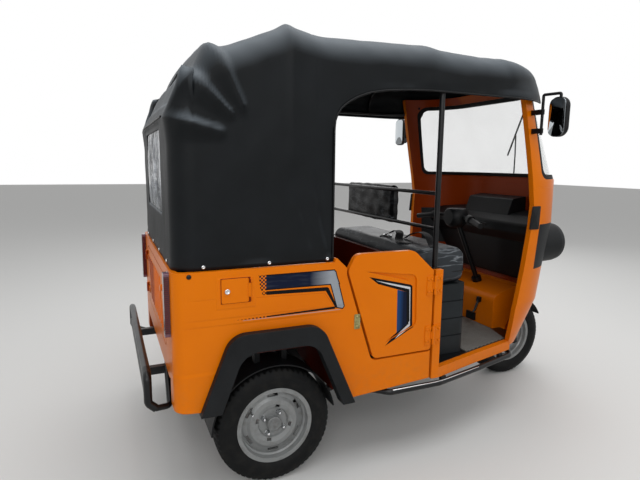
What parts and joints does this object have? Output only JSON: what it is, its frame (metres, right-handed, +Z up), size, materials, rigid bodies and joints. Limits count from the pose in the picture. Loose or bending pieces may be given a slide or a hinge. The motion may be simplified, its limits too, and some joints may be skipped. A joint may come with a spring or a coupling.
{
  "type": "auto rickshaw",
  "caption": "Three-wheeled passenger rickshaw with an open cab, half doors, a vinyl hood, a raked steering fork and a rear bench.",
  "frame": {"origin": "on the ground under the middle of the whole vehicle", "axes": "+X forward, +Y to the driver's left, +Z up"},
  "size_m": [2.55, 1.472, 1.91],
  "materials": {
    "orange_paint": "gloss orange enamel",
    "black_paint": "satin black enamel",
    "silver_paint": "silver wheel enamel",
    "tyre_rubber": "black tyre rubber",
    "hood_vinyl": "charcoal vinyl cloth",
    "seat_vinyl": "dark grey vinyl",
    "grey_plastic": "dark grey moulded plastic",
    "black_plastic": "black moulded plastic",
    "mat_rubber": "grey ribbed rubber",
    "seal_rubber": "black rubber",
    "clear_glass": "clear laminated glass",
    "lamp_lens": "clear lamp lens",
    "red_lens": "red lamp lens",
    "window_film": "clear vinyl film",
    "engine_metal": "cast alloy"
  },
  "bodies": {
    "body": {"chassis_frame": "black_paint", "floor_pan": "black_paint", "floor_mat": "mat_rubber", "side_panel_right": "orange_paint", "side_panel_left": "orange_paint", "rear_panel": "orange_paint", "tail_lamps": "red_lens", "arch_flares": "grey_plastic", "rear_mudguards": "black_plastic", "side_sill_right": "orange_paint", "side_sill_left": "orange_paint", "passenger_seat_base": "orange_paint", "engine_block": "engine_metal", "rear_suspension": "black_paint", "front_shell": "orange_paint", "lamp_fascia": "grey_plastic", "headlamps": "lamp_lens", "screen_frame": "orange_paint", "screen_seal": "seal_rubber", "windscreen": "clear_glass", "wiper": "black_plastic", "front_wheel_tub": "orange_paint", "dashboard": "black_plastic", "mirrors": "black_plastic", "driver_seat_box": "black_plastic", "driver_cushion": "seat_vinyl", "driver_backrest": "seat_vinyl", "partition": "orange_paint", "grab_frame": "black_paint", "passenger_cushion": "seat_vinyl", "passenger_backrest": "seat_vinyl", "canopy": "hood_vinyl", "roof_frame": "black_paint", "rear_window": "window_film", "rear_guard": "black_paint", "step_bars": "black_paint", "foot_pedal": "black_paint"},
    "door_right": {"door_right": "orange_paint"},
    "door_left": {"door_left": "orange_paint"},
    "rear_hatch": {"rear_hatch": "orange_paint"},
    "fuel_flap": {"fuel_flap": "orange_paint"},
    "steering": {"front_fork": "black_paint", "handlebar": "black_plastic", "front_mudguard": "black_plastic"},
    "front_wheel": {"front_tyre": "tyre_rubber", "front_rim": "silver_paint"},
    "rear_wheel_right": {"rear_tyre_right": "tyre_rubber", "rear_rim_right": "silver_paint"},
    "rear_wheel_left": {"rear_tyre_left": "tyre_rubber", "rear_rim_left": "silver_paint"}
  },
  "joints": [
    {"name": "door_right_hinge", "type": "hinge", "parent": "body", "child": "door_right", "pos_m": [-0.008, -0.628, 0.6], "axis": [0, 0, 1], "range_deg": [0, 95]},
    {"name": "door_left_hinge", "type": "hinge", "parent": "body", "child": "door_left", "pos_m": [-0.008, 0.628, 0.6], "axis": [0, 0, -1], "range_deg": [0, 95]},
    {"name": "rear_hatch_hinge", "type": "hinge", "parent": "body", "child": "rear_hatch", "pos_m": [-1.178, 0.392, 0.7], "axis": [0, 0, -1], "range_deg": [0, 110]},
    {"name": "fuel_flap_hinge", "type": "hinge", "parent": "body", "child": "fuel_flap", "pos_m": [-0.875, -0.624, 0.87], "axis": [0, 0, 1], "range_deg": [0, 110]},
    {"name": "steering_turn", "type": "hinge", "parent": "body", "child": "steering", "pos_m": [0.97297, 0, 0.2316], "axis": [-0.4226, 0, 0.9063], "range_deg": [-38, 38]},
    {"name": "front_wheel_spin", "type": "hinge", "parent": "steering", "child": "front_wheel", "pos_m": [1.021, 0, 0.254], "axis": [0, 1, 0], "continuous": true},
    {"name": "rear_wheel_right_spin", "type": "hinge", "parent": "body", "child": "rear_wheel_right", "pos_m": [-0.755, -0.502, 0.254], "axis": [0, 1, 0], "continuous": true},
    {"name": "rear_wheel_left_spin", "type": "hinge", "parent": "body", "child": "rear_wheel_left", "pos_m": [-0.755, 0.502, 0.254], "axis": [0, 1, 0], "continuous": true}
  ]
}
